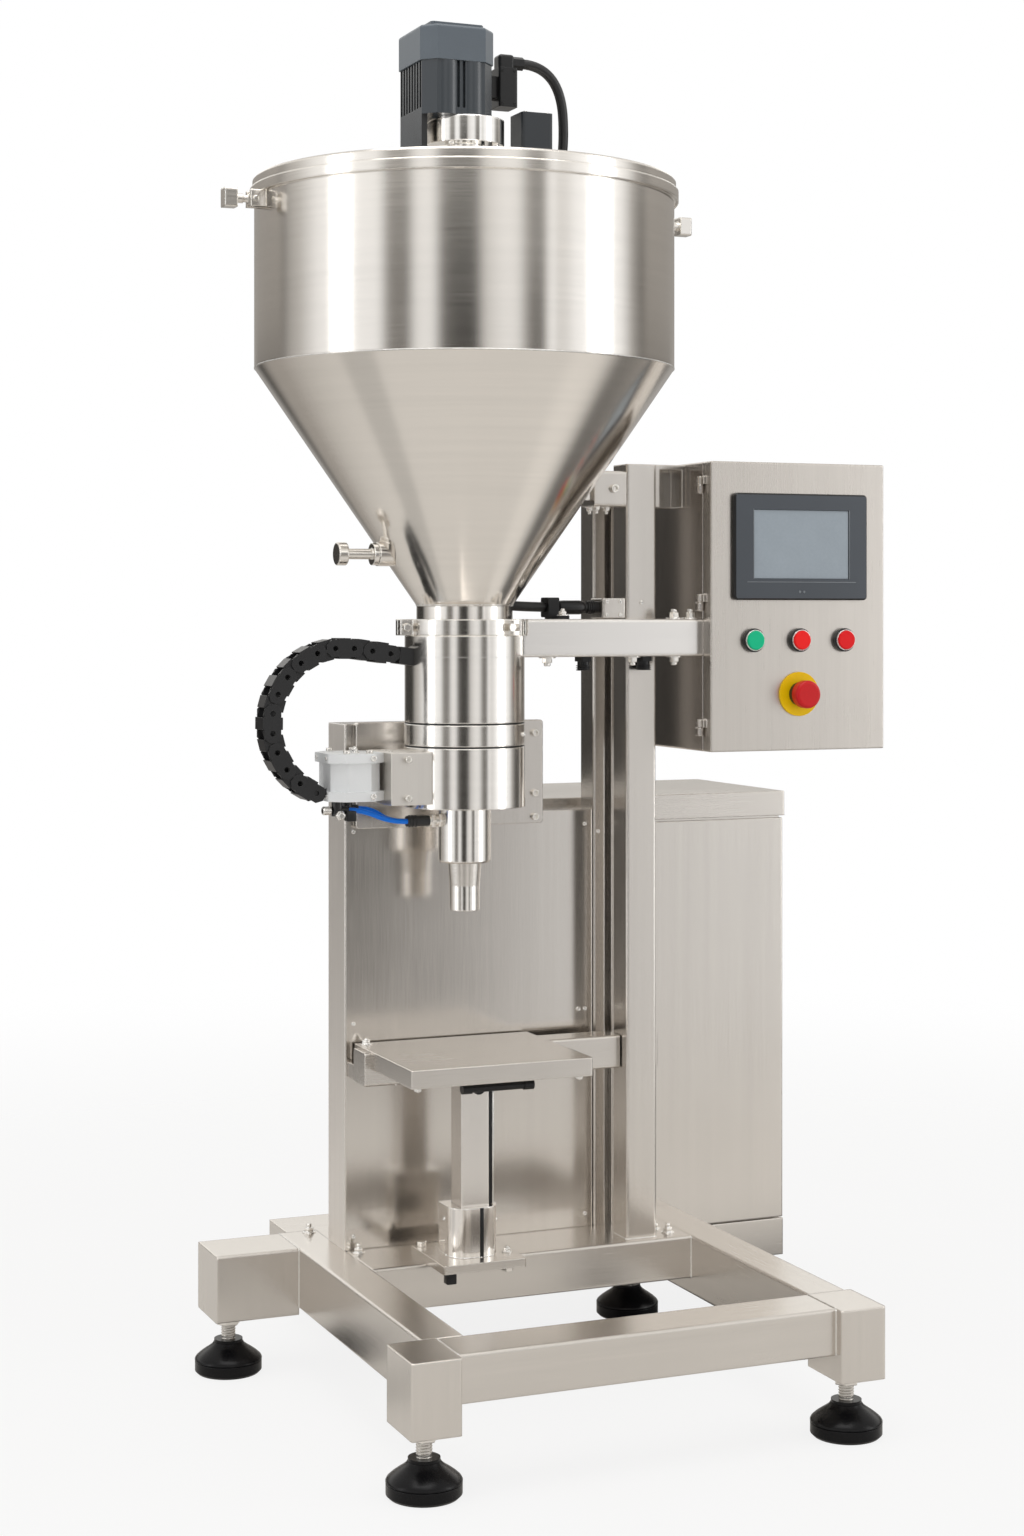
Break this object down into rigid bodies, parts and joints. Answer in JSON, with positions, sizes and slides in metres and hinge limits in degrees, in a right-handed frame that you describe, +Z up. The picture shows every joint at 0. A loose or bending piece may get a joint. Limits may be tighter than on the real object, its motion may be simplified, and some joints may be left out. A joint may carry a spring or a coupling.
{
  "type": "auger powder filler",
  "caption": "Stainless auger filler: powder hopper over a motor-driven auger and nozzle, lifting jar tray, control box with touch panel and buttons, on a levelled frame.",
  "frame": {"origin": "on the floor, under the middle of the machine's bounding box", "axes": "+Z up, front of the machine towards -Y, control box towards +X"},
  "size_m": [0.833, 0.7745, 1.603],
  "materials": {
    "brushed_stainless": "satin brushed stainless sheet and tube",
    "polished_stainless": "fine turned and polished stainless",
    "plated_steel": "bright plated hardware",
    "cast_aluminium": "fine bead blasted aluminium",
    "motor_paint": "dark blue-grey enamel",
    "grey_paint": "dark grey enamel",
    "black_plastic": "moulded black plastic, slight sheen",
    "foot_plastic": "moulded black plastic pad on a steel stem",
    "charcoal_plastic": "fine grained charcoal plastic",
    "screen": "blank screen under a gloss window",
    "blue_tube": "blue polyurethane air tube",
    "black_cable": "black cable jacket",
    "green_cap": "green moulded cap",
    "red_cap": "red moulded cap",
    "yellow_plate": "yellow moulded plate",
    "controller_plastic": "grey moulded controller cases"
  },
  "bodies": {
    "frame": {"base_beams": "brushed_stainless", "base_legs": "brushed_stainless", "hex_fasteners": "plated_steel", "posts": "brushed_stainless", "back_panel": "brushed_stainless", "cabinet_plinth": "brushed_stainless", "cabinet_shell": "brushed_stainless", "cabinet_lid": "brushed_stainless", "hopper": "polished_stainless", "hopper_lugs": "polished_stainless", "hopper_lid": "polished_stainless", "neck_clamp": "polished_stainless", "auger_drum": "polished_stainless", "drum_ring": "polished_stainless", "gate_drum": "polished_stainless", "nozzle_socket": "polished_stainless", "fill_nozzle": "polished_stainless", "drum_plate": "brushed_stainless", "socket_screws": "plated_steel", "support_arm": "brushed_stainless", "post_brackets": "brushed_stainless", "auger_motor": "motor_paint", "motor_flange": "cast_aluminium", "agitator_motor": "grey_paint", "motor_connector": "black_plastic", "cable_glands": "black_plastic", "motor_cable": "black_cable", "control_box": "brushed_stainless", "controller_unit": "controller_plastic", "actuator_body": "cast_aluminium", "actuator_bracket": "brushed_stainless", "air_fittings": "plated_steel", "air_tubes": "blue_tube", "cable_chain": "black_plastic", "column_tube": "brushed_stainless", "pedestal_collar": "polished_stainless"},
    "auger": {"auger_screw": "polished_stainless"},
    "agitator": {"agitator": "polished_stainless", "agitator_gear": "plated_steel"},
    "pinion": {"agitator_pinion": "plated_steel"},
    "platform": {"platform_tray": "brushed_stainless", "platform_crossbar": "brushed_stainless", "lift_tube": "polished_stainless"},
    "lever": {"clamp_lever": "black_plastic"},
    "door": {"control_door": "brushed_stainless", "hmi_bezel": "charcoal_plastic", "hmi_screen": "screen", "button_collars": "plated_steel", "estop_plate": "yellow_plate"},
    "start_cap": {"start_button": "green_cap"},
    "stop_cap": {"stop_button": "red_cap"},
    "reset_cap": {"reset_button": "red_cap"},
    "estop_cap": {"estop_head": "red_cap"},
    "front_left_foot": {"foot_front_left": "foot_plastic"},
    "front_right_foot": {"foot_front_right": "foot_plastic"},
    "back_left_foot": {"foot_back_left": "foot_plastic"},
    "back_right_foot": {"foot_back_right": "foot_plastic"},
    "left_clamp": {"lid_clamp_left": "polished_stainless"},
    "right_clamp": {"lid_clamp_right": "polished_stainless"},
    "drain": {"drain_knob": "polished_stainless"}
  },
  "joints": [
    {"name": "auger_spin", "type": "hinge", "parent": "frame", "child": "auger", "pos_m": [-0.1205, -0.01175, 0.561], "axis": [0, 0, 1], "continuous": true},
    {"name": "agitator_spin", "type": "hinge", "parent": "frame", "child": "agitator", "pos_m": [-0.1205, -0.01175, 1.2], "axis": [0, 0, 1], "continuous": true},
    {"name": "pinion_spin", "type": "hinge", "parent": "frame", "child": "pinion", "pos_m": [-0.0345, -0.01175, 1.402], "axis": [0, 0, 1], "continuous": true},
    {"name": "platform_lift", "type": "slide", "parent": "frame", "child": "platform", "axis": [0, 0, 1], "range_m": [0, 0.12]},
    {"name": "lever_turn", "type": "hinge", "parent": "frame", "child": "lever", "pos_m": [-0.1205, -0.05825, 0.358], "axis": [0, 1, 0], "range_deg": [0, 110]},
    {"name": "door_swing", "type": "hinge", "parent": "frame", "child": "door", "pos_m": [0.1715, -0.05175, 0.744], "axis": [0, 0, 1], "range_deg": [-95, 0]},
    {"name": "left_clamp_swing", "type": "hinge", "parent": "frame", "child": "left_clamp", "pos_m": [-0.3805, -0.01175, 1.386], "axis": [0, 1, 0], "range_deg": [-55, 0]},
    {"name": "right_clamp_swing", "type": "hinge", "parent": "frame", "child": "right_clamp", "pos_m": [0.1395, -0.01175, 1.386], "axis": [0, 1, 0], "range_deg": [0, 55]},
    {"name": "drain_turn", "type": "hinge", "parent": "frame", "child": "drain", "pos_m": [-0.23858, -0.01175, 0.981], "axis": [1, 0, 0], "continuous": true},
    {"name": "start_press", "type": "slide", "parent": "door", "child": "start_cap", "axis": [0, 1, 0], "range_m": [0, 0.004], "stiffness_N_per_m": 500},
    {"name": "stop_press", "type": "slide", "parent": "door", "child": "stop_cap", "axis": [0, 1, 0], "range_m": [0, 0.004], "stiffness_N_per_m": 500},
    {"name": "reset_press", "type": "slide", "parent": "door", "child": "reset_cap", "axis": [0, 1, 0], "range_m": [0, 0.004], "stiffness_N_per_m": 500},
    {"name": "estop_press", "type": "slide", "parent": "door", "child": "estop_cap", "axis": [0, 1, 0], "range_m": [0, 0.005], "stiffness_N_per_m": 800},
    {"name": "front_left_level", "type": "slide", "parent": "frame", "child": "front_left_foot", "axis": [0, 0, -1], "range_m": [0, 0.025]},
    {"name": "front_right_level", "type": "slide", "parent": "frame", "child": "front_right_foot", "axis": [0, 0, -1], "range_m": [0, 0.025]},
    {"name": "back_left_level", "type": "slide", "parent": "frame", "child": "back_left_foot", "axis": [0, 0, -1], "range_m": [0, 0.025]},
    {"name": "back_right_level", "type": "slide", "parent": "frame", "child": "back_right_foot", "axis": [0, 0, -1], "range_m": [0, 0.025]}
  ],
  "couplings": [
    {"joint": "pinion_spin", "follows": "agitator_spin", "ratio": -2.5833}
  ]
}
